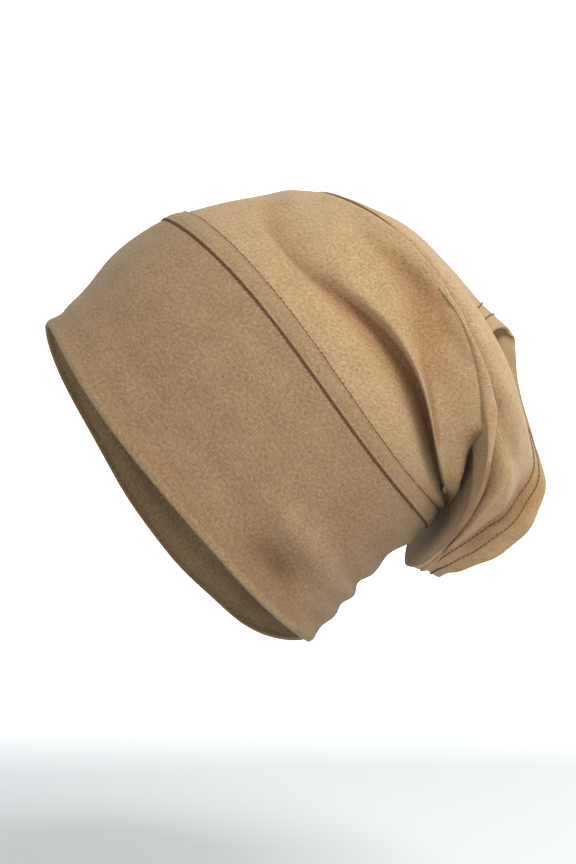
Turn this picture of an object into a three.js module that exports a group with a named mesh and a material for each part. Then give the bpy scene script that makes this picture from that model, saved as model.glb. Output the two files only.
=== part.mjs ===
// Head wrap: a soft tube cap of stretch jersey, held up as a head holds it.
// Millimetres, +Z up. The face side is -Y and the wearer's left is +X.
// The origin is the centre of the head opening.
import * as THREE from "three";

// Cloth thicknesses
const CROWN_WALL = 1.3;
const BAND_WALL = 2.6;
const HEM_WALL = 2;
const STRIP_WALL = 2.8;
const STRIP_RISE = 0.9;

// Share of the strip's width that is left free along each of its long edges
const STRIP_GAP = 0.035;

// Share of a ring step that is left free between the crown and the back bag
const FOLD_GAP = 0.05;

// Angle from the top within which a ring sags
const SAG_REACH = Math.PI / 6;

// Points round one ring
const BAND_SIDES = 46;
const STRIP_SIDES = 54;
const CROWN_SIDES = 54;

// One row per ring of the surface, from the rim at the face to the cut edge at the back.
// top and low: the ring's points on the middle plane.
// side: half widths an eighth, two and three eighths of the way round from the top.
// bow: how far the ring stands off its chord there, towards the back.
// far: what the wearer's right side adds to each half width, and to the bow at its side.
// sag: how far the ring sinks along its chord at the top.
// steps: faces between this ring and the next.
const RING_COLUMNS = [
  "name", "topY", "topZ", "lowY", "lowZ", "side45", "side90", "side135",
  "bow45", "bow90", "bow135", "far45", "far90", "far135", "farBow", "sag", "steps",
];
const RINGS = [
  ["rim", -64, 79, 64, -80, 50, 73, 68, -9, -13, -8, 0, 0, 0, -13, 0, 3],
  ["trough", -47, 95, 82, -63, 51, 73, 62, -8, -13, -8, 0, 0, 0, -9, 0, 3],
  ["band", -31, 116, 97, -47, 55, 78, 58, -4, -6, -4, 0, 0, 0, -4, 0, 4],
  ["strip front", -7, 132, 126, -23, 56, 79, 56, 1, -4, -5, 0, 0, 0, 0, 0, 1],
  ["strip back", 4, 136, 131, -15, 56, 79, 56, 0, -5, -6, 0, 0, 0, 0, 0, 3],
  ["slope", 24, 141, 134, -14, 56, 77, 54, 0, 3, -1, 0, 0, 0, -2, 0, 3],
  ["valley", 43, 144.5, 136, -12, 56, 72, 50, -4, 9, 1, 0, 3, 1, 2, 0, 3],
  ["ridge", 55, 147, 141, -9, 58, 79, 56, -5, 8, -1, 0, -2, -1, 6, 0, 3],
  ["hollow", 61, 147, 144, -14, 57, 77, 56, 8, 18, 2, 0, -3, -1, 5, 0, 3],
  ["crest", 66, 146.5, 139, -26, 58, 78, 54, 17, 28, 11, 0, 0, 0, 2, 0, 4],
  ["lip", 72, 145.5, 119, -40, 57, 75, 57, 22, 39, 27, 0, -2, 0, 1, 0, 3],
  ["tuck", 77, 143.5, 120.5, -41.5, 53, 69, 53, 23, 43, 30, 0, 2, 0, 1, 0, 3],
  ["welt", 84, 142.5, 122, -43, 51, 69, 52, 23, 45, 31, 0, -1, 0, 1, 0, 3],
  ["groove", 93, 139.5, 123.5, -44.5, 47, 65, 50, 20, 43, 29, 0, 0, 0, 1, 0, 3],
  ["roll", 113, 131, 125.5, -46.5, 44, 62, 47, 14, 37, 23, 0, -3, -1, 1, 0, 3],
  ["hang", 139, 113, 127, -47, 35, 46, 39, 8, 31, 17, -3, -10, -6, -2, 2, 3],
  ["hem line", 155, 92, 129.5, -48.5, 21, 32, 31, 3, 32, 14, -8, -22, -16, 0, 4, 3],
  ["edge", 167, 81, 136, -51, 14, 24, 24, 4, 33, 23, -6, -26, -15, 2, 8, 0],
];

// Soft dents (and, below zero, swellings) pressed into the band's side along X.
const DENT_COLUMNS = ["side", "y", "z", "depth", "across", "along"];
const DENTS = [
  [1, 40, -40, 5, 15, 26],
  [1, 60, -27, -3.5, 12, 26],
  [1, 6, 22, -2, 34, 40],
  [-1, 30, -30, 4, 18, 30],
  [-1, 58, -10, -3, 16, 30],
];
const DENT_LEAN = 0.9;

// Places where the cloth tucks in towards the middle plane, under a fold.
// angle and reach are degrees, ring is counted from the rim and need not be whole.
const TUCK_COLUMNS = ["ring", "angle", "depth", "rings", "reach"];
const TUCKS = [
  [9.5, 154, 10, 0.5, 14],
  [9.5, 208, 8, 0.5, 16],
];

const named = (columns, table) =>
  table.map((row) => Object.fromEntries(columns.map((name, i) => [name, row[i]])));
const rings = named(RING_COLUMNS, RINGS);
const dents = named(DENT_COLUMNS, DENTS);
const tucks = named(TUCK_COLUMNS, TUCKS);
const ringNumber = (name) => rings.findIndex((ring) => ring.name === name);

// Point of one ring at angle a, which runs from 0 at the top over the wearer's left side.
function ringPoint(ring, a) {
  const far = a > Math.PI;
  const b = far ? 2 * Math.PI - a : a;
  const s = Math.sin(b);
  const c = Math.cos(b);
  const side45 = ring.side45 + (far ? ring.far45 : 0);
  const side90 = ring.side90 + (far ? ring.far90 : 0);
  const side135 = ring.side135 + (far ? ring.far135 : 0);
  const farBow = far ? ring.farBow : 0;
  const wide = (side45 + side135) / Math.SQRT2;
  const first = (wide + side90) / 2;
  const third = (wide - side90) / 2;
  const second = (side45 - side135) / 2;
  const x = first * s + second * Math.sin(2 * b) + third * Math.sin(3 * b);
  const level = ring.bow45 + ring.bow135;
  const tilt = Math.SQRT2 * (ring.bow45 - ring.bow135);
  const off = s * s * (level + tilt * c + (level - ring.bow90) * Math.cos(2 * b) + farBow);
  const dy = ring.lowY - ring.topY;
  const dz = ring.lowZ - ring.topZ;
  const long = Math.hypot(dy, dz);
  const t = (1 - c) / 2 + (ring.sag / long) * Math.exp(-((b / SAG_REACH) ** 2));
  return [
    far ? -x : x,
    ring.topY + t * dy - (off * dz) / long,
    ring.topZ + t * dz + (off * dy) / long,
  ];
}

// Rings are spaced by the root of the mean distance between them.
const PROBES = 24;
function ringDistance(p, q) {
  let sum = 0;
  for (let i = 0; i < PROBES; i++) {
    const a = (2 * Math.PI * i) / PROBES;
    const u = ringPoint(p, a);
    const v = ringPoint(q, a);
    sum += Math.hypot(u[0] - v[0], u[1] - v[1], u[2] - v[2]);
  }
  return sum / PROBES;
}
const knots = [0];
for (let i = 1; i < rings.length; i++) {
  knots.push(knots[i - 1] + Math.sqrt(ringDistance(rings[i - 1], rings[i])));
}

const mix = (p, q, t) => p.map((value, i) => value + (q[i] - value) * t);

// Point of the outside surface, v rings along and at angle a: a smooth curve through the rings.
function surfacePoint(v, a) {
  const i = Math.min(Math.floor(v), rings.length - 2);
  const p1 = ringPoint(rings[i], a);
  const p2 = ringPoint(rings[i + 1], a);
  const p0 = i > 0 ? ringPoint(rings[i - 1], a) : mix(p2, p1, 2);
  const p3 = i + 2 < rings.length ? ringPoint(rings[i + 2], a) : mix(p1, p2, 2);
  const t1 = knots[i];
  const t2 = knots[i + 1];
  const t0 = i > 0 ? knots[i - 1] : 2 * t1 - t2;
  const t3 = i + 2 < rings.length ? knots[i + 2] : 2 * t2 - t1;
  const t = t1 + (t2 - t1) * (v - i);
  const a1 = mix(p0, p1, (t - t0) / (t1 - t0));
  const a2 = mix(p1, p2, (t - t1) / (t2 - t1));
  const a3 = mix(p2, p3, (t - t2) / (t3 - t2));
  const b1 = mix(a1, a2, (t - t0) / (t2 - t0));
  const b2 = mix(a2, a3, (t - t1) / (t3 - t1));
  return dented(tucked(v, a, mix(b1, b2, (t - t1) / (t2 - t1))));
}

function tucked(v, a, [x, y, z]) {
  let depth = 0;
  for (const tuck of tucks) {
    const dv = (v - tuck.ring) / tuck.rings;
    const da = (THREE.MathUtils.radToDeg(a) - tuck.angle) / tuck.reach;
    depth += tuck.depth * Math.exp(-dv * dv - da * da);
  }
  return [Math.sign(x) * Math.max(0.1 * Math.abs(x), Math.abs(x) - depth), y, z];
}

function dented([x, y, z]) {
  let push = 0;
  for (const dent of dents) {
    const dy = y - dent.y;
    const dz = z - dent.z;
    const along = dy * Math.cos(DENT_LEAN) - dz * Math.sin(DENT_LEAN);
    const across = dy * Math.sin(DENT_LEAN) + dz * Math.cos(DENT_LEAN);
    const far = (along / dent.along) ** 2 + (across / dent.across) ** 2;
    const reach = Math.min(1, Math.max(0, (dent.side * x) / 45));
    push -= dent.side * dent.depth * reach * Math.exp(-far);
  }
  return [x + push, y, z];
}

// Unit normal of the outside surface, pointing away from the head.
function surfaceNormal(v, a) {
  const last = rings.length - 1;
  const step = 0.12;
  const before = new THREE.Vector3(...surfacePoint(Math.max(0, v - step), a));
  const after = new THREE.Vector3(...surfacePoint(Math.min(last, v + step), a));
  const turn = Math.PI / 60;
  const round = 2 * Math.PI;
  const left = new THREE.Vector3(...surfacePoint(v, (a - turn + round) % round));
  const right = new THREE.Vector3(...surfacePoint(v, (a + turn) % round));
  return after.sub(before).cross(right.sub(left)).normalize();
}

// Values of v from one ring to another, with each ring's own number of steps.
function stations(from, to) {
  const list = [];
  for (let i = from; i < to; i++) {
    const n = rings[i].steps;
    for (let k = 0; k < n; k++) list.push(i + k / n);
  }
  list.push(to);
  return list;
}

// Closed ring-shaped body from a loop of profile points [v, height over the surface].
function bodyFromProfile(profile, sides) {
  const positions = [];
  const index = [];
  for (const [v, height] of profile) {
    for (let j = 0; j < sides; j++) {
      const a = (2 * Math.PI * j) / sides;
      const p = new THREE.Vector3(...surfacePoint(v, a));
      if (height !== 0) p.addScaledVector(surfaceNormal(v, a), height);
      positions.push(p.x, p.y, p.z);
    }
  }
  for (let i = 0; i < profile.length; i++) {
    const next = (i + 1) % profile.length;
    for (let j = 0; j < sides; j++) {
      const k = (j + 1) % sides;
      const p = i * sides + j;
      const q = next * sides + j;
      const r = next * sides + k;
      const s = i * sides + k;
      index.push(p, q, r, p, r, s);
    }
  }
  const geometry = new THREE.BufferGeometry();
  geometry.setAttribute("position", new THREE.Float32BufferAttribute(positions, 3));
  geometry.setIndex(index);
  geometry.computeVertexNormals();
  return geometry;
}

function addPart(group, name, geometry, color, roughness) {
  const material = new THREE.MeshStandardMaterial({ color, roughness, metalness: 0 });
  material.name = `${name}_cloth`;
  const mesh = new THREE.Mesh(geometry, material);
  mesh.name = name;
  group.add(mesh);
}

// Front band: the outside, back along the inside, with a rounded fold at the rim.
function frontBand() {
  const list = stations(0, ringNumber("strip front"));
  const outside = list.map((v) => [v, 0]);
  const inside = list.slice().reverse().map((v) => [v, -BAND_WALL]);
  inside[inside.length - 1] = [0.03, -BAND_WALL];
  outside[0] = [0.03, 0];
  return bodyFromProfile([...outside, ...inside, [0, -BAND_WALL / 2]], BAND_SIDES);
}

// Seam strip: raised in the middle, a little thicker than the cloth on both sides of it.
function seamStrip() {
  const v = ringNumber("strip front");
  const a = v + STRIP_GAP;
  const b = v + 1 - STRIP_GAP;
  const profile = [
    [a, 0.1],
    [mid(a, b, 0.12), STRIP_RISE * 0.8],
    [mid(a, b, 0.5), STRIP_RISE],
    [mid(a, b, 0.88), STRIP_RISE * 0.8],
    [b, 0.1],
    [b, STRIP_RISE - STRIP_WALL],
    [a, STRIP_RISE - STRIP_WALL],
  ];
  return bodyFromProfile(profile, STRIP_SIDES);
}
function mid(a, b, t) {
  return a + (b - a) * t;
}

// The crown tube is one layer of cloth, and two in the hem, with the cut edge turned inside.
// It is made in two bodies that meet under the overhanging fold: the crown and the back bag.
const CROWN_END = ringNumber("lip") + 1 / 3;
function tubeBody(list) {
  const hem = ringNumber("hem line");
  const wall = (v) => CROWN_WALL + (HEM_WALL - CROWN_WALL) * Math.min(1, Math.max(0, (v - hem) * 6));
  const outside = list.map((v) => [v, 0]);
  const inside = list.slice().reverse().map((v) => [v, -wall(v)]);
  return bodyFromProfile([...outside, ...inside], CROWN_SIDES);
}
function crownTube() {
  return tubeBody([...stations(ringNumber("strip back"), ringNumber("lip")), CROWN_END]);
}
function backBag() {
  const middle = ringNumber("lip") + 2 / 3;
  return tubeBody([CROWN_END + FOLD_GAP, middle, ...stations(ringNumber("tuck"), rings.length - 1)]);
}

const group = new THREE.Group();
group.name = "head_wrap";
addPart(group, "front_band", frontBand(), 0xa58a68, 0.92);
addPart(group, "seam_strip", seamStrip(), 0xb0906c, 0.92);
addPart(group, "crown_tube", crownTube(), 0xc0a078, 0.92);
addPart(group, "back_bag", backBag(), 0xc0a078, 0.92);

export default group;
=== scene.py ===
import math

import bpy
import numpy as np
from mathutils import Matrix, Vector


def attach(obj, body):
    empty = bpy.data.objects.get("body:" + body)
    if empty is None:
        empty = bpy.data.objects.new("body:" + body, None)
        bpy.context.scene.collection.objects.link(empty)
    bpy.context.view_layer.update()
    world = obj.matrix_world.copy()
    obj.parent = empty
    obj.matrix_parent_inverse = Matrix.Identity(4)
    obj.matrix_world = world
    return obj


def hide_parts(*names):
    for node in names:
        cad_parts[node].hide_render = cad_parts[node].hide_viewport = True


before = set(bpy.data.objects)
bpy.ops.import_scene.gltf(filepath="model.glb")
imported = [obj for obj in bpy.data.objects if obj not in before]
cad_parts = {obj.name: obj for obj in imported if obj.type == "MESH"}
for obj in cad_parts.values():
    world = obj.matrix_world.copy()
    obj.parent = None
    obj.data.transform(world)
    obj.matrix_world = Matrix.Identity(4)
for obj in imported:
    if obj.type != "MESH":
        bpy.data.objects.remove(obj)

bl_info = {
    "name": "Jersey head wrap",
    "version": (1, 0, 0),
    "blender": (4, 5, 0),
    "location": "3D View > Sidebar > Head wrap",
    "description": "Dresses the packed head wrap in knitted cloth, seams and stitches",
    "category": "Object",
}

BODY = "root"
MM = 0.001


def linear(code):
    """An sRGB hex colour as linear red, green and blue."""
    parts = [int(code[i:i + 2], 16) / 255 for i in (1, 3, 5)]
    return tuple(c / 12.92 if c <= 0.04045 else ((c + 0.055) / 1.055) ** 2.4 for c in parts)


# The worn form: closed rings of cloth, in millimetres

# One row per ring, from the rim at the face to the free edge at the back.
# top and low lie on the middle plane; side is the half width an eighth, two and three
# eighths of the way round; bow is how far the ring stands off its chord there, towards
# the back; far is what the wearer's right side adds to the half widths and to the bow,
# where lean adds more at the top than below and heel adds near the bottom alone; sag
# sinks the ring at the top.
RING_COLUMNS = (
    "name", "top_y", "top_z", "low_y", "low_z", "side45", "side90", "side135",
    "bow45", "bow90", "bow135", "far45", "far90", "far135", "far_bow", "far_lean", "far_heel",
    "sag",
)
RINGS = [
    dict(zip(RING_COLUMNS, row))
    for row in (
        ("rim", -66, 79, 64, -80, 50, 73, 68, -9, -13, -8, 0, 0, 0, -2.5, 5, -22, 0),
        ("trough", -48, 95, 82, -63, 51, 73, 62, -8, -13, -8, 0, 0, 0, -3, 3, -12, 0),
        ("band", -31, 115, 97, -47, 55, 78, 58, -4, -6, -4, 0, 0, 0, -1.5, 1, -5, 0),
        ("strip front", -7, 131.3, 126, -23, 56, 79, 56, 1, -4, -5, 0, 0, 0, 0, 0, 0, 0),
        ("strip back", 4, 135, 131, -15, 56, 79, 56, 0, -5, -6, 0, 0, 0, 0, 0, 0, 0),
        ("slope", 24, 140.3, 134, -14, 56, 77, 54, -2, 0, -3, 0, 0, 0, -2, 0, 0, 0),
        ("valley", 43, 144, 136, -12, 56, 69, 43, -12.5, 5.5, 0, 0, 4, 1, 3, 0, 0, 0),
        ("ridge", 54, 146.5, 138, -10, 60, 81, 60, -9, 2, -6, 0, -2, -1, 8, 0, 0, 0),
        ("hollow", 60, 146.5, 138, -14, 56, 74, 56, 8, 11, -2, 0, -3, -1, 6, 0, 0, 0),
        ("crest", 66, 146, 134, -22, 58, 79, 58, 18, 30, 14, 0, 0, 0, 2, 0, 0, 0),
        ("pocket", 69, 145.5, 127, -31, 57, 78, 54, 20, 36, 22, 0, 0, 0, 1, 0, 0, 0),
        ("lip", 72, 146, 118, -42, 58, 77, 58, 22, 39, 28, 0, -2, -1, 1, 0, 0, 0),
        ("tuck", 75, 143, 120, -43.5, 47, 59, 43, 15, 32, 24, 0, 3, 1, 1, 0, 0, 0),
        ("welt", 79, 144, 122.5, -45, 52, 70, 45, 21, 38, 27, 0, -2, -1, 1, 0, 0, 0),
        ("groove", 86, 142, 125, -45.5, 50, 69, 48, 21, 41, 25, 0, 3, 1, -3, 0, 0, 0),
        ("roll", 113, 130.5, 128, -46.5, 44, 62, 51, 13, 38, 20, 0, -3, -1, -2, 0, 0, 0),
        ("hang", 138, 111, 130, -47.5, 34, 46, 41, 6, 36, 14, -3, -10, -6, -4, 10, 0, 2),
        ("hem line", 157, 93.5, 131, -47, 20, 30, 32, -4, 33, 10, -9, -28, -25, 0, 26, 0, 4),
        ("edge", 170, 84, 134, -49, 13, 22, 24, -8, 32, 22, -6, -26, -21, 2, 48, 0, 6),
    )
]
# Angle from the top within which a ring sags
SAG_REACH = math.pi / 6
# How sharply the heel of the right side falls away upwards
HEEL_ROUND, HEEL_FALL = 0.8, 3
# Places round a ring at which the distance to the next one is measured
KNOT_SIDES = 24


def ring_number(name):
    """The place of a ring in the table, counted from the rim."""
    return next(i for i, ring in enumerate(RINGS) if ring["name"] == name)


# Soft dents pressed into the cloth's sides, and swellings below zero.
DENT_COLUMNS = ("side", "y", "z", "depth", "across", "along")
DENTS = [
    dict(zip(DENT_COLUMNS, row))
    for row in (
        (1, 36, -40, 9, 10, 22),
        (1, 53, -28, -5, 9, 26),
        (1, 6, 22, -2, 34, 40),
        (-1, 30, -30, 4, 18, 30),
        (-1, 58, -10, -3, 16, 30),
    )
]
# Slope of the dents in radians, and the half width at which they are at full depth
DENT_LEAN = 0.9
DENT_FADE = 45

# Places where the cloth tucks in towards the middle plane, under a fold, and swellings
# below zero. Rings need not be whole, and angles and reaches are degrees.
TUCK_COLUMNS = ("ring", "angle", "depth", "rings", "reach")
TUCKS = [
    dict(zip(TUCK_COLUMNS, row))
    for row in (
        (9.2, 135, 22, 0.42, 11),
        (9.25, 149, 20, 0.42, 9),
        (8.0, 160, 26, 1.0, 12),
        (10.4, 144, -6, 0.6, 24),
        (12.0, 150, -9, 0.7, 28),
        (9.4, 214, 15, 0.8, 17),
        (13.6, 238, 6, 0.9, 22),
    )
]
# Share of the half width that the deepest tuck leaves
TUCK_REST = 0.1

# Places where the cloth is drawn back and up, or the other way, in its middle plane.
PULL_COLUMNS = ("ring", "angle", "back", "up", "rings", "reach")
PULLS = [
    dict(zip(PULL_COLUMNS, row))
    for row in (
        (18, 332, 6.0, 0, 1.3, 20),
        (18, 292, -5.5, 0, 1.2, 18),
        (16.3, 165, -7.0, 3.0, 1.3, 28),
        (14.7, 148, -3.2, 4.2, 1.2, 22),
        (16.2, 84, -3.3, 0, 1.1, 13),
        (18, 112, -2.6, 0, 0.8, 12),
        (18, 136, 1.2, -2.2, 0.8, 12),
        (0, 228, 1.8, 2.4, 0.9, 16),
        (0, 272, -1.5, -1.1, 0.9, 16),
    )
]

# Low creases and soft ridges on one side of the cap: ends, half width and height.
CREASE_COLUMNS = ("side", "y0", "z0", "y1", "z1", "width", "height")
CREASES = [
    dict(zip(CREASE_COLUMNS, row))
    for row in (
        (1, 78, 128, 116, 88, 5, -0.8),
        (1, 96, 112, 128, 62, 4, -0.6),
        (1, 160, 20, 168, -8, 6, -1.2),
        (1, 129, 87, 150, 44, 5, 1.8),
        (1, 144, 39, 157, 13, 4, -1.8),
        (1, 148, 30, 158, -20, 5, 1.0),
        (-1, 70, 132, 118, 84, 6, -1.0),
        (-1, 92, 118, 130, 60, 5, 0.8),
    )
]
# Half width at which a crease is at its full height
CREASE_FADE = 30

# Places along the cloth where it lies higher or lower all the way round.
BAND_COLUMNS = ("ring", "behind", "width", "height")
SEAM_DIPS = [
    dict(zip(BAND_COLUMNS, row))
    for row in (("strip front", -0.012, 0.022, -0.7), ("strip back", 0.02, 0.032, -1.0))
]
RIM_ROLL = [
    dict(zip(BAND_COLUMNS, row))
    for row in (("rim", 0.13, 0.09, 0.7), ("rim", 0.42, 0.16, -0.9))
]

# The sharp crease beside the overhanging panel: place and width in rings, depth, and the
# angles over which it starts and stops
PANEL_CREASE = {"place": 10.45, "width": 0.2, "depth": 2.6, "start": (0.08, 0.3),
                "stop": (1.95, 2.2)}

# Gathers at the nape: half angle, rings over which they start and stop, height of the
# waves, how far they lie inwards, waves to the ring, and how much they wander
NAPE = {"reach": 0.5, "start": (0.4, 1.2), "stop": (2.6, 3.0), "height": 1.4, "drop": 0.8,
        "waves": 9.5, "wander": 2.2, "wander_turns": 3}

# Waves of the free end: turns, phase and share of each
HEM_WAVES = ((7, 0.6, 1.0), (12, 2.0, 0.7), (19, 0.0, 0.5))
# Their height, the angle from the top within which they fade, and where they begin
HEM_HEIGHT, HEM_CALM, HEM_START = 0.9, 0.55, 0.4

# Steps along and round the cloth between which its normal is measured
NORMAL_STEP, NORMAL_TURN = 0.02, 2 * math.pi / 240

# Distances ahead and behind at which a fold is looked for, in millimetres
FOLD_REACHES = (4, 14, 28)


def ring_curve(ring, a):
    """Points of one ring at the angles a, from 0 at the top over the wearer's left."""
    far = a > math.pi
    b = np.where(far, 2 * math.pi - a, a)
    s, c = np.sin(b), np.cos(b)
    side45 = ring["side45"] + far * ring["far45"]
    side90 = ring["side90"] + far * ring["far90"]
    side135 = ring["side135"] + far * ring["far135"]
    wide = (side45 + side135) / math.sqrt(2)
    x = (wide + side90) / 2 * s + (side45 - side135) / 2 * np.sin(2 * b)
    x = x + (wide - side90) / 2 * np.sin(3 * b)
    level = ring["bow45"] + ring["bow135"]
    tilt = math.sqrt(2) * (ring["bow45"] - ring["bow135"])
    off = level + tilt * c + (level - ring["bow90"]) * np.cos(2 * b)
    off = s * s * (off + far * (ring["far_bow"] + ring["far_lean"] * c))
    off = off + far * ring["far_heel"] * np.abs(s) ** HEEL_ROUND * ((1 - c) / 2) ** HEEL_FALL
    dy, dz = ring["low_y"] - ring["top_y"], ring["low_z"] - ring["top_z"]
    long = math.hypot(dy, dz)
    t = (1 - c) / 2 + ring["sag"] / long * np.exp(-((b / SAG_REACH) ** 2))
    y = ring["top_y"] + t * dy - off * dz / long
    z = ring["top_z"] + t * dz + off * dy / long
    return np.stack([np.where(far, -x, x), y, z], -1)


def ring_knots():
    """Rings are spaced along the cloth by the root of the mean distance between them."""
    a = 2 * math.pi * np.arange(KNOT_SIDES) / KNOT_SIDES
    curves = [ring_curve(ring, a) for ring in RINGS]
    gaps = [np.linalg.norm(q - p, axis=-1).mean() for p, q in zip(curves, curves[1:])]
    return np.concatenate([[0], np.cumsum(np.sqrt(gaps))])


KNOTS = ring_knots()


def smooth_step(x, low, high):
    """0 below low, 1 above high, and a soft rise between them."""
    t = np.clip((x - low) / (high - low), 0, 1)
    return t * t * (3 - 2 * t)


def bare_surface(v, a):
    """Points v rings along and at the angles a: a smooth curve through the rings."""
    last = len(RINGS) - 1
    i = int(min(max(math.floor(v), 0), last - 1))
    p1, p2 = ring_curve(RINGS[i], a), ring_curve(RINGS[i + 1], a)
    p0 = ring_curve(RINGS[i - 1], a) if i > 0 else 2 * p1 - p2
    p3 = ring_curve(RINGS[i + 2], a) if i + 2 <= last else 2 * p2 - p1
    t1, t2 = KNOTS[i], KNOTS[i + 1]
    t0 = KNOTS[i - 1] if i > 0 else 2 * t1 - t2
    t3 = KNOTS[i + 2] if i + 2 <= last else 2 * t2 - t1
    t = t1 + (t2 - t1) * (v - i)

    def mix(p, q, u, w):
        return p + (q - p) * (t - u) / (w - u)

    a1, a2, a3 = mix(p0, p1, t0, t1), mix(p1, p2, t1, t2), mix(p2, p3, t2, t3)
    return mix(mix(a1, a2, t0, t2), mix(a2, a3, t1, t3), t1, t2)


def tucked(v, a, p):
    """The points with the tucks under the folds pushed in and the pulled places moved."""
    depth = np.zeros(len(p))
    for tuck in TUCKS:
        dv = (v - tuck["ring"]) / tuck["rings"]
        da = (np.degrees(a) - tuck["angle"]) / tuck["reach"]
        depth += tuck["depth"] * np.exp(-dv * dv - da ** 4)
    x = np.abs(p[:, 0])
    q = p.copy()
    q[:, 0] = np.sign(p[:, 0]) * np.maximum(TUCK_REST * x, x - depth)
    for pull in PULLS:
        dv = (v - pull["ring"]) / pull["rings"]
        da = (np.degrees(a) - pull["angle"]) / pull["reach"]
        q[:, 1:] += np.exp(-dv * dv - da * da)[:, None] * (pull["back"], pull["up"])
    return q


def dented(p):
    """The points with the soft dents and swellings of the sides."""
    q = p.copy()
    for dent in DENTS:
        dy, dz = p[:, 1] - dent["y"], p[:, 2] - dent["z"]
        along = dy * math.cos(DENT_LEAN) - dz * math.sin(DENT_LEAN)
        across = dy * math.sin(DENT_LEAN) + dz * math.cos(DENT_LEAN)
        off = (along / dent["along"]) ** 2 + (across / dent["across"]) ** 2
        reach = np.clip(dent["side"] * p[:, 0] / DENT_FADE, 0, 1)
        q[:, 0] -= dent["side"] * dent["depth"] * reach * np.exp(-off)
    return q


def surface(v, a):
    """Points of the outside of the cloth."""
    return dented(tucked(v, a, bare_surface(v, a)))


def bell(x, middle, width):
    """1 at the middle and near 0 two widths away from it."""
    return np.exp(-(((x - middle) / width) ** 2))


def relief(v, a, p):
    """Heights of the small folds, in millimetres along the normal."""
    h = np.zeros(len(p))
    for crease in CREASES:
        s = np.array([crease["y0"], crease["z0"]], float)
        e = np.array([crease["y1"], crease["z1"]], float)
        d = e - s
        q = p[:, 1:] - s
        t = np.clip(q @ d / (d @ d), 0, 1)
        off = np.linalg.norm(q - t[:, None] * d, axis=1) / crease["width"]
        side = np.clip(crease["side"] * p[:, 0] / CREASE_FADE, 0, 1)
        h += crease["height"] * side * np.exp(-off * off)
    # The seams pull the cloth in beside the strip, and the folded rim is a soft roll
    # with a shallow trough behind it
    for place in SEAM_DIPS + RIM_ROLL:
        middle = ring_number(place["ring"]) + place["behind"]
        h += place["height"] * bell(v, middle, place["width"])
    # A sharp crease runs down beside the overhanging panel
    panel = PANEL_CREASE
    beside = smooth_step(a, *panel["start"]) * (1 - smooth_step(a, *panel["stop"]))
    h -= panel["depth"] * beside * bell(v, panel["place"], panel["width"])
    # The nape gathers a little where the band is slack
    nape = bell(a, math.pi, NAPE["reach"]) * smooth_step(v, *NAPE["start"])
    nape = nape * (1 - smooth_step(v, *NAPE["stop"]))
    wander = NAPE["wander"] * np.sin(NAPE["wander_turns"] * a)
    h += nape * (NAPE["height"] * np.sin(NAPE["waves"] * v + wander) - NAPE["drop"])
    # The hem waves where nothing pulls it flat
    free = smooth_step(v, ring_number("hang") + HEM_START, ring_number("edge"))
    waves = sum(share * np.sin(turns * a + phase) for turns, phase, share in HEM_WAVES)
    calm = bell(np.minimum(a, 2 * math.pi - a), 0, HEM_CALM)
    h += HEM_HEIGHT * free * waves * (1 - calm)
    return h


def frame_rows(rows, sides):
    """For each (v, height, reach): points, so far along the normal and on along the cloth."""
    a = 2 * math.pi * np.arange(sides) / sides
    a_left = (a - NORMAL_TURN) % (2 * math.pi)
    a_right = (a + NORMAL_TURN) % (2 * math.pi)
    found = []
    for v, height, reach in rows:
        p = surface(v, a)
        along = surface(v + NORMAL_STEP, a) - surface(v - NORMAL_STEP, a)
        n = np.cross(surface(v, a_right) - surface(v, a_left), along)
        n /= np.linalg.norm(n, axis=1)[:, None] + 1e-9
        along /= np.linalg.norm(along, axis=1)[:, None] + 1e-9
        lift = height + relief(v, a, p)
        found.append(p + n * lift[:, None] + along * reach)
    return np.array(found)


def fold_depth(grid):
    """How far the cloth ahead and behind stands over each point, in millimetres."""
    sides = grid.shape[1]
    steps = np.linalg.norm(np.diff(grid, axis=0, prepend=grid[:1]), axis=-1)
    run = np.cumsum(steps, 0)
    along = np.gradient(grid, axis=0)
    n = np.cross(np.roll(grid, -1, 1) - np.roll(grid, 1, 1), along)
    n /= np.linalg.norm(n, axis=-1, keepdims=True) + 1e-9
    over = np.zeros(grid.shape[:2])
    shifts = [side * reach for reach in FOLD_REACHES for side in (-1, 1)]
    for k in range(sides):
        for shift in shifts:
            there = np.clip(run[:, k] + shift, 0, run[-1, k])
            near = np.stack([np.interp(there, run[:, k], grid[:, k, c]) for c in range(3)], -1)
            over[:, k] += ((near - grid[:, k]) * n[:, k]).sum(-1) / len(FOLD_REACHES)
    return over


def new_piece(name, mesh, material):
    """An object of this mesh and material in the scene, shaded smooth."""
    mesh.polygons.foreach_set("use_smooth", [True] * len(mesh.polygons))
    mesh.materials.append(material)
    mesh.update()
    piece = bpy.data.objects.new(name, mesh)
    bpy.context.scene.collection.objects.link(piece)
    return piece


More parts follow.
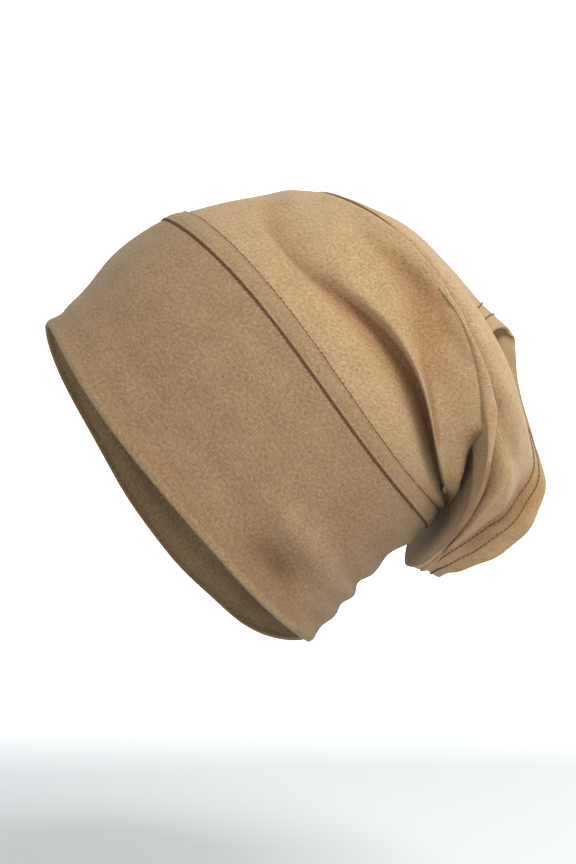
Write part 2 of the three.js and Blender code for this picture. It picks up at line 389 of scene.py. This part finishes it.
def loft(name, rows, sides, closed, material, round_mm=500.0):
    """A mesh lofted through rows of points, with a UV map that lies on the cloth in metres.

    round_mm is the flat cloth's length round the tube."""
    grid = frame_rows(rows, sides)
    count = len(rows)
    index = np.arange(count * sides).reshape(count, sides)
    lower = index if closed else index[:-1]
    upper = np.roll(index, -1, 0) if closed else index[1:]
    quads = np.stack([lower, np.roll(lower, -1, 1), np.roll(upper, -1, 1), upper], -1)
    quads = quads.reshape(-1, 4)
    mesh = bpy.data.meshes.new(name)
    # Faces look outwards whichever way the outer rows run
    turn = 1 if rows[1][0] > rows[0][0] else -1
    mesh.from_pydata((grid.reshape(-1, 3) * MM).tolist(), [], quads[:, ::turn].tolist())
    # Cloth coordinates: how far round the flat tube, and the length run along each column
    steps = np.linalg.norm(np.diff(grid, axis=0, append=grid[:1]), axis=-1)
    run = np.concatenate([np.zeros((1, sides)), np.cumsum(steps, 0)])
    first = np.arange(len(quads)) // sides
    column = np.arange(len(quads)) % sides
    u0, u1 = column / sides * round_mm, (column + 1) / sides * round_mm
    low0, low1 = run[first, column], run[first, (column + 1) % sides]
    high0, high1 = run[first + 1, column], run[first + 1, (column + 1) % sides]
    corners = np.stack([
        np.stack([u0, low0], -1), np.stack([u1, low1], -1),
        np.stack([u1, high1], -1), np.stack([u0, high0], -1),
    ], 1)[:, ::turn]
    # How deep each point lies in a fold: the mask for the painted shade in the folds
    deep = mesh.attributes.new("fold_depth", "FLOAT", "POINT")
    deep.data.foreach_set("value", (turn * fold_depth(grid)).reshape(-1).astype(np.float32))
    layer = mesh.uv_layers.new(name="cloth")
    layer.data.foreach_set("uv", (corners.reshape(-1) * MM).astype(np.float32))
    return new_piece(name, mesh, material)


# Materials


def add(tree, kind, links=(), **settings):
    """Adds a node, with its settings, and links as (input, node, output)."""
    node = tree.nodes.new(kind)
    for key, value in settings.items():
        if key.startswith("in_"):
            slot = key[3:]
            slot = int(slot) if slot.isdigit() else slot.replace("_", " ")
            node.inputs[slot].default_value = value
        else:
            setattr(node, key, value)
    for target, source, output in links:
        tree.links.new(source.outputs[output], node.inputs[target])
    return node


def empty_material(name):
    """A new material and its node tree, with no nodes in it yet."""
    material = bpy.data.materials.new(name)
    material.use_nodes = True
    material.node_tree.nodes.clear()
    return material, material.node_tree


# How far a loop leans over half its wale, as a share of a course, and how far the wales
# wander from a ruled line, in wales
LOOP_LEAN, WALE_WANDER = 0.9, 1.1
# Shares of the ribs and of the fuzz in the height of the knit
RIB_SHARE, FUZZ_SHARE = 0.3, 0.9
# Bumps to the metre of the wander, the fuzz, the heather and the clouds
WANDER_SCALE, FUZZ_SCALE, HEATHER_SCALE, CLOUD_SCALE = 220, 1100, 650, 90
# The darkest and the lightest yarn: place on the ramp, and shade of the cloth's colour
YARNS = ((0.34, (0.66, 0.62, 0.56)), (0.72, (1.28, 1.30, 1.33)))
# Depths in millimetres at which the painted shade of the folds begins and is full, and its
# painted shades between
FOLD_RANGE = (-3.0, 7.0)
FOLD_PAINTED_SHADES = (
    (0.0, (1.0, 1.0, 1.0)), (0.35, (0.98, 0.97, 0.95)),
    (0.65, (0.78, 0.62, 0.47)), (1.0, (0.40, 0.23, 0.13)),
)


def viscose_jersey(name, colour, sizes, contrast=1.0, painted_fold_shade=1.0):
    """Single jersey of heathered viscose and elastane: soft, matt and slightly fuzzy.
    The eye sees fine wales along the tube, faint courses across them, and mottled yarn."""
    material, tree = empty_material(name)
    spot = add(tree, "ShaderNodeUVMap", uv_map="cloth")
    wale, course = sizes.wale_spacing, sizes.course_spacing
    flat = add(tree, "ShaderNodeVectorMath", [(0, spot, "UV")], operation="MULTIPLY")
    flat.inputs[1].default_value = (1 / wale, 1 / course, 1)
    axes = add(tree, "ShaderNodeSeparateXYZ", [(0, flat, 0)])
    # A little wander, so that the wales aren't ruled lines
    wander = add(
        tree, "ShaderNodeTexNoise", [("Vector", spot, "UV")],
        in_Scale=WANDER_SCALE, in_Detail=2.0,
    )
    sway = add(tree, "ShaderNodeMath", [(0, wander, 0)], operation="MULTIPLY", in_1=WALE_WANDER)
    column = add(tree, "ShaderNodeMath", [(0, axes, 0), (1, sway, 0)], operation="ADD")
    # Each loop leans to both sides of the middle of its wale
    part = add(tree, "ShaderNodeMath", [(0, column, 0)], operation="PINGPONG", in_1=0.5)
    lean = add(tree, "ShaderNodeMath", [(0, part, 0)], operation="MULTIPLY", in_1=LOOP_LEAN)
    row = add(tree, "ShaderNodeMath", [(0, axes, 1), (1, lean, 0)], operation="ADD")
    row = add(tree, "ShaderNodeMath", [(0, row, 0)], operation="MULTIPLY", in_1=2 * math.pi)
    loops = add(tree, "ShaderNodeMath", [(0, row, 0)], operation="SINE")
    rib = add(tree, "ShaderNodeMath", [(0, part, 0)], operation="MULTIPLY", in_1=math.pi)
    rib = add(tree, "ShaderNodeMath", [(0, rib, 0)], operation="SINE")
    knit = add(
        tree, "ShaderNodeMath", [(0, loops, 0), (2, rib, 0)],
        operation="MULTIPLY_ADD", in_1=RIB_SHARE,
    )
    fuzz = add(
        tree, "ShaderNodeTexNoise", [("Vector", spot, "UV")], in_Scale=FUZZ_SCALE, in_Detail=3.0,
    )
    height = add(
        tree, "ShaderNodeMath", [(0, fuzz, 0), (2, knit, 0)],
        operation="MULTIPLY_ADD", in_1=FUZZ_SHARE,
    )
    bump = add(tree, "ShaderNodeBump", [("Height", height, 0)], in_Strength=0.55 * contrast)
    bump.inputs["Distance"].default_value = sizes.knit_relief
    # Heather: yarns of slightly different shades, stretched along the courses
    heather = add(
        tree, "ShaderNodeTexNoise", [("Vector", spot, "UV")],
        in_Scale=HEATHER_SCALE, in_Detail=4.0, in_Roughness=0.65,
    )
    cloud = add(
        tree, "ShaderNodeTexNoise", [("Vector", spot, "UV")], in_Scale=CLOUD_SCALE, in_Detail=3.0,
    )
    shade = add(tree, "ShaderNodeMix", [("A", heather, 0), ("B", cloud, 0)], in_Factor=0.2)
    shade = add(
        tree, "ShaderNodeMath", [(0, knit, 0), (2, shade, 0)],
        operation="MULTIPLY_ADD", in_1=0.05,
    )
    ramp = add(tree, "ShaderNodeValToRGB", [("Fac", shade, 0)])
    for stop, (place, yarn) in zip(ramp.color_ramp.elements, YARNS):
        stop.position = place
        stop.color = (*np.minimum(np.array(colour) * yarn, 1), 1)
    # Painted shade: the colour is painted darker and warmer in deep folds, standing in for the
    # shade there and the light bounced off the cloth
    fold = add(tree, "ShaderNodeAttribute", attribute_name="fold_depth")
    deep = add(tree, "ShaderNodeMapRange", [("Value", fold, "Fac")])
    deep.inputs["From Min"].default_value, deep.inputs["From Max"].default_value = FOLD_RANGE
    painted_shade_ramp = add(tree, "ShaderNodeValToRGB", [("Fac", deep, 0)])
    stops = painted_shade_ramp.color_ramp.elements
    for place, _ in FOLD_PAINTED_SHADES[1:-1]:
        stops.new(place)
    for stop, (_, shade_there) in zip(stops, FOLD_PAINTED_SHADES):
        stop.color = (*shade_there, 1)
    shaded_base = add(
        tree, "ShaderNodeMix", [(6, ramp, "Color"), (7, painted_shade_ramp, "Color")],
        data_type="RGBA", blend_type="MULTIPLY", in_0=painted_fold_shade,
    )
    cloth = add(
        tree, "ShaderNodeBsdfPrincipled", [("Base Color", shaded_base, 2), ("Normal", bump, 0)],
        in_Roughness=0.88, in_Sheen_Weight=0.14, in_Sheen_Roughness=0.5,
    )
    cloth.inputs["Specular IOR Level"].default_value = 0.25
    cloth.inputs["Sheen Tint"].default_value = (0.86, 0.82, 0.70, 1)
    add(tree, "ShaderNodeOutputMaterial", [("Surface", cloth, 0)])
    return material


def polyester_thread(colour):
    """Spun polyester sewing thread, a touch glossier than the cloth, and darker partly in its own
    brown and partly as painted shade for the shadow in the stitch grooves.
    """
    material, tree = empty_material("polyester_thread")
    place = add(tree, "ShaderNodeTexCoord")
    twist = add(
        tree, "ShaderNodeTexNoise", [("Vector", place, "Object")], in_Scale=1500, in_Detail=2.0,
    )
    ramp = add(tree, "ShaderNodeValToRGB", [("Fac", twist, 0)])
    base = np.array(colour)
    ramp.color_ramp.elements[0].color = (*(base * 0.7), 1)
    ramp.color_ramp.elements[1].color = (*np.minimum(base * 1.25, 1), 1)
    bump = add(
        tree, "ShaderNodeBump", [("Height", twist, 0)], in_Strength=0.4, in_Distance=0.0001,
    )
    thread = add(
        tree, "ShaderNodeBsdfPrincipled", [("Base Color", ramp, "Color"), ("Normal", bump, 0)],
        in_Roughness=0.6,
    )
    add(tree, "ShaderNodeOutputMaterial", [("Surface", thread, 0)])
    return material


# Stitches

# Points round the cloth through which a row is laid, and rings to its neighbours
ROW_POINTS, ROW_SPAN = 1440, 0.03
# Thread as a share of the pitch, and how far a stitch strays along and across its row
THREAD_SHARE, STRAY_ALONG, STRAY_ACROSS = 0.78, 0.05, 0.06
# How far a stitch slants across its row, and half the length its direction is taken over
STITCH_SLANT, STITCH_LOOK = 0.14, 0.2
# Radius at the ends as a share of the whole, and how far the ends dip in, in radii
END_WIDTH, END_DIP = 0.35, 1.2
# Nearest to its ends that a stitch's roundness is read, so that they don't close to a point
END_PLACE = 0.06
STITCH_SIDES, STITCH_PARTS = 6, 6


def stitch_row(name, v, height, sizes, material, seed):
    """One row of lockstitch round the cloth: short rounded dashes that dip in at their ends."""
    rng = np.random.default_rng(seed)
    places = (v - ROW_SPAN, v, v + ROW_SPAN)
    fine = frame_rows([(place, height, 0) for place in places], ROW_POINTS)
    line, across = fine[1], fine[2] - fine[0]
    gaps = np.linalg.norm(np.roll(line, -1, 0) - line, axis=1)
    run = np.concatenate([[0], np.cumsum(gaps)])
    closed = np.vstack([line, line[:1]])
    pitch = sizes.stitch_pitch / MM
    count = int(run[-1] // pitch)
    pitch = run[-1] / count
    radius, long = sizes.thread_width / MM / 2, pitch * THREAD_SHARE
    sides, parts = STITCH_SIDES, STITCH_PARTS
    points, quads = [], []

    def at(s):
        s = s % run[-1]
        return np.array([np.interp(s, run, closed[:, k]) for k in range(3)])

    for k in range(count):
        start = k * pitch + rng.normal(0, STRAY_ALONG)
        side = across[int(ROW_POINTS * ((k + 0.5) * pitch) / run[-1]) % ROW_POINTS]
        side = side / (np.linalg.norm(side) + 1e-9)
        drift = rng.normal(0, STRAY_ACROSS)
        first = len(points)
        for i in range(parts + 1):
            t = i / parts
            s = start + t * long
            p = at(s) + side * (drift + STITCH_SLANT * (t - 0.5))
            q = at(s + STITCH_LOOK) - at(s - STITCH_LOOK)
            q /= np.linalg.norm(q) + 1e-9
            up = np.cross(side, q)
            swell = math.sin(math.pi * min(max(t, END_PLACE), 1 - END_PLACE)) ** 0.5
            r = radius * (END_WIDTH + (1 - END_WIDTH) * swell)
            dip = -END_DIP * radius * (2 * t - 1) ** 4
            for j in range(sides):
                w = 2 * math.pi * j / sides
                points.append(p + side * r * math.cos(w) + up * (r * math.sin(w) + dip))
        for i in range(parts):
            for j in range(sides):
                m = (j + 1) % sides
                quads.append((first + (i + 1) * sides + j, first + (i + 1) * sides + m,
                              first + i * sides + m, first + i * sides + j))
        quads.append(tuple(first + j for j in range(sides)))
        quads.append(tuple(first + parts * sides + j for j in reversed(range(sides))))
    mesh = bpy.data.meshes.new(name)
    mesh.from_pydata((np.array(points) * MM).tolist(), [], quads)
    return new_piece(name, mesh, material)


# Settings


class ClothSizes(bpy.types.PropertyGroup):
    """Sizes of the cloth, the seams and the stitches."""

    layer: bpy.props.FloatProperty(
        name="Layer", description="Thickness of one layer of jersey",
        default=0.0011, min=0.0005, max=0.002, unit="LENGTH")
    wale_spacing: bpy.props.FloatProperty(
        name="Wales", description="Distance between the knit's ribs",
        default=0.0011, min=0.0005, max=0.003, unit="LENGTH")
    course_spacing: bpy.props.FloatProperty(
        name="Courses", description="Distance between the knit's rows",
        default=0.0009, min=0.0004, max=0.003, unit="LENGTH")
    knit_relief: bpy.props.FloatProperty(
        name="Knit relief", description="Height of the knit's surface",
        default=0.00025, min=0.0, max=0.001, unit="LENGTH")
    strip_rise: bpy.props.FloatProperty(
        name="Strip rise", description="How far the seam strip stands over the cloth",
        default=0.0011, min=0.0002, max=0.003, unit="LENGTH")
    stitch_pitch: bpy.props.FloatProperty(
        name="Stitch pitch", description="Length of one stitch with its gap",
        default=0.0025, min=0.001, max=0.005, unit="LENGTH")
    thread_width: bpy.props.FloatProperty(
        name="Thread width", description="Thickness of the sewing thread",
        default=0.0008, min=0.0002, max=0.0015, unit="LENGTH")


class ClothColours(bpy.types.PropertyGroup):
    """Colours of the cloth and the thread."""

    # The band and the strip are darker than the crown partly in their own tone and partly as
    # painted shade, for the shade on the band's side and beside the seam
    band: bpy.props.FloatVectorProperty(
        name="Band", description="Colour of the front band",
        subtype="COLOR", size=3, min=0, max=1, default=linear("#8a7051"))
    strip: bpy.props.FloatVectorProperty(
        name="Strip", description="Colour of the seam strip",
        subtype="COLOR", size=3, min=0, max=1, default=linear("#8f7555"))
    crown: bpy.props.FloatVectorProperty(
        name="Crown", description="Colour of the crown tube",
        subtype="COLOR", size=3, min=0, max=1, default=linear("#a38562"))
    # The thread's colour is partly its own brown and partly painted shade, darkened for the
    # shadow in the stitch grooves
    thread: bpy.props.FloatVectorProperty(
        name="Thread", description="Colour of the sewing thread",
        subtype="COLOR", size=3, min=0, max=1, default=linear("#5c3b17"))


# Pieces

# Rings that the band reaches under the strip, where its fold lies, and the stretch next to
# the strip that has its rows closer together
BAND_UNDER, BAND_FOLD, BAND_CLOSE = 0.06, 0.05, 0.16
# Rows of the band's outside beside the strip and beyond, of its fold, and of its inside
BAND_ROWS = (12, 80, 9, 60)
BAND_SIDES = 360

# The strip from edge to edge: place across it, and height as a share of its rise
STRIP_PROFILE = (
    (0.00, -0.5), (0.005, 0.15), (0.02, 0.55), (0.05, 0.85), (0.09, 0.8),
    (0.13, 0.62), (0.18, 0.75), (0.28, 0.95), (0.40, 1.0), (0.60, 1.0),
    (0.72, 0.95), (0.82, 0.75), (0.87, 0.62), (0.91, 0.8), (0.95, 0.85),
    (0.98, 0.55), (0.995, 0.15), (1.00, -0.5),
)
# Places across its underside, and how far that lies below the cloth, in millimetres
STRIP_UNDER, STRIP_LOW = (1.0, 0.75, 0.5, 0.25, 0.0), -2.3
STRIP_SIDES = 480

# Rings that the crown reaches under the strip, and that its edge stops short of the last
CROWN_UNDER, CROWN_SHORT = 0.04, 0.06
# Rows up to the slope, and from each ring to the next
CROWN_START_ROWS = 12
CROWN_ROWS = {
    "slope": 12, "valley": 14, "ridge": 14, "hollow": 12, "crest": 12, "pocket": 9, "lip": 9,
    "tuck": 9, "welt": 10, "groove": 14, "roll": 14, "hang": 12, "hem line": 16,
}
# Where the turned-in hem is cut, in rings from the hem line, and half the step at the cut
HEM_CUT, HEM_STEP = -0.25, 0.02
HEM_TURN_ROWS = 7
CROWN_SIDES = 270

# Rows of stitches: name, ring, how far behind it, height over the cloth, and seed
STITCH_ROWS = (
    ("stitches_strip_front", "strip front", -0.028, 0.4, 1),
    ("stitches_strip_back", "strip front", 1.03, 0.5, 2),
    ("stitches_hem_first", "hem line", -0.03, 0.12, 3),
    ("stitches_hem_second", "hem line", 0.42, 0.12, 4),
)


class HEADWRAP_OT_front_band(bpy.types.Operator):
    """Builds the folded front band"""

    bl_idname = "head_wrap.front_band"
    bl_label = "Front band"

    def execute(self, context):
        sizes, colours = context.scene.wrap_sizes, context.scene.wrap_colours
        radius = sizes.layer / MM
        end, start = ring_number("strip front") + BAND_UNDER, BAND_FOLD
        beside, beyond, fold, inside = BAND_ROWS
        values = list(np.linspace(end, end - BAND_CLOSE, beside, endpoint=False))
        values += list(np.linspace(end - BAND_CLOSE, start, beyond))
        out = [(v, 0, 0) for v in values]
        turns = [
            (start, -radius + radius * math.cos(w), -radius * math.sin(w))
            for w in np.linspace(0, math.pi, fold)[1:-1]
        ]
        back = [(v, -2 * radius, 0) for v in np.linspace(start, end, inside)]
        cloth = viscose_jersey("viscose_jersey_band", colours.band, sizes, painted_fold_shade=0.3)
        band = loft("band_cloth", out + turns + back, BAND_SIDES, False, cloth)
        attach(band, BODY)
        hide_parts("front_band")
        return {"FINISHED"}


class HEADWRAP_OT_seam_strip(bpy.types.Operator):
    """Builds the raised strip between the band and the crown"""

    bl_idname = "head_wrap.seam_strip"
    bl_label = "Seam strip"

    def execute(self, context):
        sizes, colours = context.scene.wrap_sizes, context.scene.wrap_colours
        rise = sizes.strip_rise / MM
        front = ring_number("strip front")
        rows = [(front + t, h * rise, 0) for t, h in STRIP_PROFILE]
        rows += [(front + t, STRIP_LOW, 0) for t in STRIP_UNDER]
        cloth = viscose_jersey("viscose_jersey_strip", colours.strip, sizes, contrast=0.8)
        strip = loft("strip_cloth", rows, STRIP_SIDES, True, cloth, round_mm=520)
        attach(strip, BODY)
        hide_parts("seam_strip")
        return {"FINISHED"}


class HEADWRAP_OT_crown_tube(bpy.types.Operator):
    """Builds the crown tube with its folds and the hem turned in at the back"""

    bl_idname = "head_wrap.crown_tube"
    bl_label = "Crown tube"

    def execute(self, context):
        sizes, colours = context.scene.wrap_sizes, context.scene.wrap_colours
        layer = sizes.layer / MM
        start = ring_number("strip back") - CROWN_UNDER
        end = ring_number("edge") - CROWN_SHORT
        values = list(np.linspace(start, ring_number("slope"), CROWN_START_ROWS)[:-1])
        for name, count in CROWN_ROWS.items():
            i = ring_number(name)
            values += list(np.linspace(i, min(i + 1, end), count, endpoint=False))
        values.append(end)
        out = [(v, 0, 0) for v in values]
        turns = [
            (end, -layer + layer * math.cos(w), layer * math.sin(w))
            for w in np.linspace(0, math.pi, HEM_TURN_ROWS)[1:-1]
        ]
        # One layer inside, and two where the hem is turned in
        cut = ring_number("hem line") + HEM_CUT
        back = [
            (v, -layer * (1 + float(smooth_step(v, cut - HEM_STEP, cut + HEM_STEP))), 0)
            for v in reversed(values)
        ]
        cloth = viscose_jersey(
            "viscose_jersey_crown", colours.crown, sizes, contrast=0.8, painted_fold_shade=0.65,
        )
        crown = loft("crown_cloth", out + turns + back, CROWN_SIDES, True, cloth)
        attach(crown, BODY)
        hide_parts("crown_tube", "back_bag")
        return {"FINISHED"}


class HEADWRAP_OT_stitches(bpy.types.Operator):
    """Sews the two rows beside the strip and the two rows round the hem"""

    bl_idname = "head_wrap.stitches"
    bl_label = "Stitches"

    def execute(self, context):
        sizes, colours = context.scene.wrap_sizes, context.scene.wrap_colours
        thread = polyester_thread(colours.thread)
        for name, ring, behind, height, seed in STITCH_ROWS:
            piece = stitch_row(name, ring_number(ring) + behind, height, sizes, thread, seed)
            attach(piece, BODY)
        return {"FINISHED"}


# The floor is a round sheet that rises softly behind: its middle, how far it begins and
# reaches outwards, its height and how steeply it rises over its outer half, in metres
FLOOR_MIDDLE_Y, FLOOR_START, FLOOR_REACH = 0.05, 0.05, 5.0
FLOOR_Z, FLOOR_RISE = -0.24, 8.8
FLOOR_RINGS, FLOOR_SIDES = 40, 96

# Square lamps: name, place, where it points, size, power and colour
CAP_MIDDLE = (0, 0.06, 0.03)
LAMPS = (
    ("key_light", (1.42, 0.45, 1.38), CAP_MIDDLE, 0.7, 39, (0.95, 0.98, 1.0)),
    ("low_fill", (0.85, 0.25, -0.17), CAP_MIDDLE, 0.5, 1.6, (1.0, 0.96, 0.9)),
    ("back_light", (-0.35, 1.35, 0.75), CAP_MIDDLE, 0.6, 12, (1.0, 0.98, 0.94)),
    ("wall_light", (-1.6, 0.2, 2.0), (-5.0, 0.6, 0.4), 2.0, 260, (1.0, 1.0, 1.0)),
)
# Where the photo was taken from and the point that it looks at
CAMERA_EYE, CAMERA_AIM = (1.28814, -0.17129, 0.07085), (0.00867, 0.05432, 0.02548)
CAMERA_LENS_MM = 108.33


def place_aimed(name, data, place, aim):
    """An object of a lamp or camera, at a place and turned towards a point."""
    holder = bpy.data.objects.new(name, data)
    holder.location = place
    holder.rotation_euler = (Vector(aim) - Vector(place)).to_track_quat("-Z", "Y").to_euler()
    bpy.context.scene.collection.objects.link(holder)
    return holder


class HEADWRAP_OT_stage(bpy.types.Operator):
    """Sets up the pale floor, the soft lights and the camera"""

    bl_idname = "head_wrap.stage"
    bl_label = "Stage"

    def execute(self, context):
        scene = context.scene
        # Matt grey wall paint, which gives a soft shadow and no shine
        material = bpy.data.materials.new("painted_studio_floor")
        material.use_nodes = True
        floor_paint = material.node_tree.nodes["Principled BSDF"]
        floor_paint.inputs["Base Color"].default_value = (0.6, 0.6, 0.6, 1)
        floor_paint.inputs["Roughness"].default_value = 0.9
        mesh = bpy.data.meshes.new("studio_floor")
        rings, sides = FLOOR_RINGS, FLOOR_SIDES
        points, quads = [], []
        for i in range(rings + 1):
            t = i / rings
            r = FLOOR_START + FLOOR_REACH * t
            z = FLOOR_Z + FLOOR_RISE * max(0.0, t - 0.5) ** 2
            for j in range(sides):
                w = 2 * math.pi * j / sides
                points.append((r * math.cos(w), FLOOR_MIDDLE_Y + r * math.sin(w), z))
        for i in range(rings):
            for j in range(sides):
                k = (j + 1) % sides
                low, high = i * sides, (i + 1) * sides
                quads.append((low + j, high + j, high + k, low + k))
        quads.append(tuple(range(sides)))
        mesh.from_pydata(points, [], quads)
        floor = new_piece("studio_floor", mesh, material)

        world = bpy.data.worlds.new("soft_room")
        world.use_nodes = True
        sky = world.node_tree.nodes["Background"]
        sky.inputs["Color"].default_value = (0.90, 0.97, 1.0, 1)
        sky.inputs["Strength"].default_value = 0.74
        scene.world = world
        scene.view_settings.view_transform = "Standard"

        for name, place, aim, size, power, colour in LAMPS:
            lamp = bpy.data.lights.new(name, "AREA")
            lamp.size = size
            lamp.energy = power
            lamp.color = colour
            place_aimed(name, lamp, place, aim)

        camera = bpy.data.cameras.new("photo_camera")
        camera.sensor_width = 36
        camera.lens = CAMERA_LENS_MM
        scene.camera = place_aimed("photo_camera", camera, CAMERA_EYE, CAMERA_AIM)
        return {"FINISHED"}


class HEADWRAP_PT_pieces(bpy.types.Panel):
    """Lists the pieces of the head wrap with their sizes and colours"""

    bl_idname = "HEADWRAP_PT_pieces"
    bl_label = "Head wrap"
    bl_space_type = "VIEW_3D"
    bl_region_type = "UI"
    bl_category = "Head wrap"

    def draw(self, context):
        for group in (context.scene.wrap_sizes, context.scene.wrap_colours):
            box = self.layout.box()
            for name in group.__annotations__:
                box.prop(group, name)
        for piece in PIECES:
            self.layout.operator(piece.bl_idname)


PIECES = (
    HEADWRAP_OT_front_band,
    HEADWRAP_OT_seam_strip,
    HEADWRAP_OT_crown_tube,
    HEADWRAP_OT_stitches,
    HEADWRAP_OT_stage,
)
CLASSES = (ClothSizes, ClothColours, *PIECES, HEADWRAP_PT_pieces)


def register():
    """Makes the settings, the operators and the panel known to Blender."""
    for cls in CLASSES:
        bpy.utils.register_class(cls)
    bpy.types.Scene.wrap_sizes = bpy.props.PointerProperty(type=ClothSizes)
    bpy.types.Scene.wrap_colours = bpy.props.PointerProperty(type=ClothColours)


def unregister():
    """Takes them away again."""
    del bpy.types.Scene.wrap_colours
    del bpy.types.Scene.wrap_sizes
    for cls in reversed(CLASSES):
        bpy.utils.unregister_class(cls)


def main():
    """Builds every piece in order."""
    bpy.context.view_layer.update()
    register()
    bpy.ops.head_wrap.front_band()
    bpy.ops.head_wrap.seam_strip()
    bpy.ops.head_wrap.crown_tube()
    bpy.ops.head_wrap.stitches()
    bpy.ops.head_wrap.stage()


if __name__ == "__main__":
    main()
